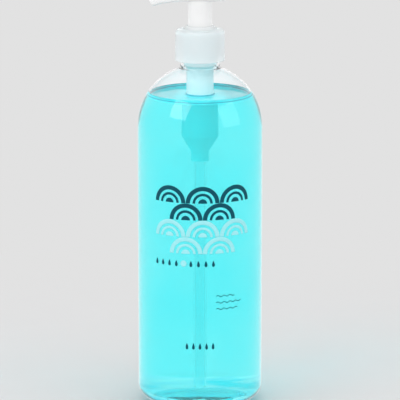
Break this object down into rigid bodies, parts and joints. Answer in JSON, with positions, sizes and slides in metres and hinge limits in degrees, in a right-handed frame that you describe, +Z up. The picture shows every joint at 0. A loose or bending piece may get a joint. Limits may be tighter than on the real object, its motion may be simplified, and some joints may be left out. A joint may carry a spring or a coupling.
{
  "type": "hand soap pump bottle",
  "caption": "Clear round bottle of blue hand soap with a screw-on lotion pump: head with nozzle, stem, spring, piston, ball valve and dip tube inside.",
  "frame": {"origin": "on the floor at the centre of the bottle's base, on the bottle's axis", "axes": "+Z up along the bottle's axis, the nozzle points to -X"},
  "size_m": [0.08, 0.08, 0.2719],
  "materials": {
    "clear_pet": "clear, glossy",
    "blue_soap": "clear blue liquid",
    "natural_cap": "translucent, satin",
    "foam_seal": "matte foam",
    "natural_housing": "translucent, satin",
    "natural_collar": "translucent, satin",
    "natural_tube": "translucent, glossy",
    "ball_steel": "polished",
    "spring_steel": "drawn wire",
    "natural_stem": "translucent, satin",
    "soft_piston": "soft, matte",
    "natural_poppet": "satin",
    "natural_head": "translucent, satin",
    "print_dark": "printed ink, dark",
    "print_pale": "printed ink, pale"
  },
  "bodies": {
    "bottle": {"bottle": "clear_pet", "soap_liquid": "blue_soap"},
    "pump_core": {"pump_housing": "natural_housing", "lock_collar": "natural_collar", "gasket": "foam_seal", "dip_tube": "natural_tube", "spring": "spring_steel"},
    "closure": {"closure": "natural_cap"},
    "ball": {"valve_ball": "ball_steel"},
    "plunger": {"stem": "natural_stem", "poppet": "natural_poppet"},
    "piston": {"piston": "soft_piston"},
    "head": {"pump_head": "natural_head"}
  },
  "joints": [
    {"name": "pump_lift", "type": "slide", "parent": "bottle", "child": "pump_core", "axis": [0, 0, 1], "range_m": [0, 0.00635]},
    {"name": "closure_turn", "type": "hinge", "parent": "pump_core", "child": "closure", "pos_m": [0, 0, 0.2319], "axis": [0, 0, 1], "range_deg": [0, 540]},
    {"name": "head_press", "type": "slide", "parent": "pump_core", "child": "plunger", "axis": [0, 0, -1], "range_m": [0, 0.014], "stiffness_N_per_m": 900, "springref_m": -0.008, "deforming": ["spring"]},
    {"name": "head_turn", "type": "hinge", "parent": "plunger", "child": "head", "pos_m": [0, 0, 0.2609], "axis": [0, 0, 1], "continuous": true},
    {"name": "piston_lag", "type": "slide", "parent": "plunger", "child": "piston", "axis": [0, 0, 1], "range_m": [0, 0.0015]},
    {"name": "ball_lift", "type": "slide", "parent": "pump_core", "child": "ball", "axis": [0, 0, 1], "range_m": [0, 0.002]}
  ],
  "couplings": [
    {"joint": "pump_lift", "follows": "closure_turn", "m_per_rad": 0.00067322}
  ]
}
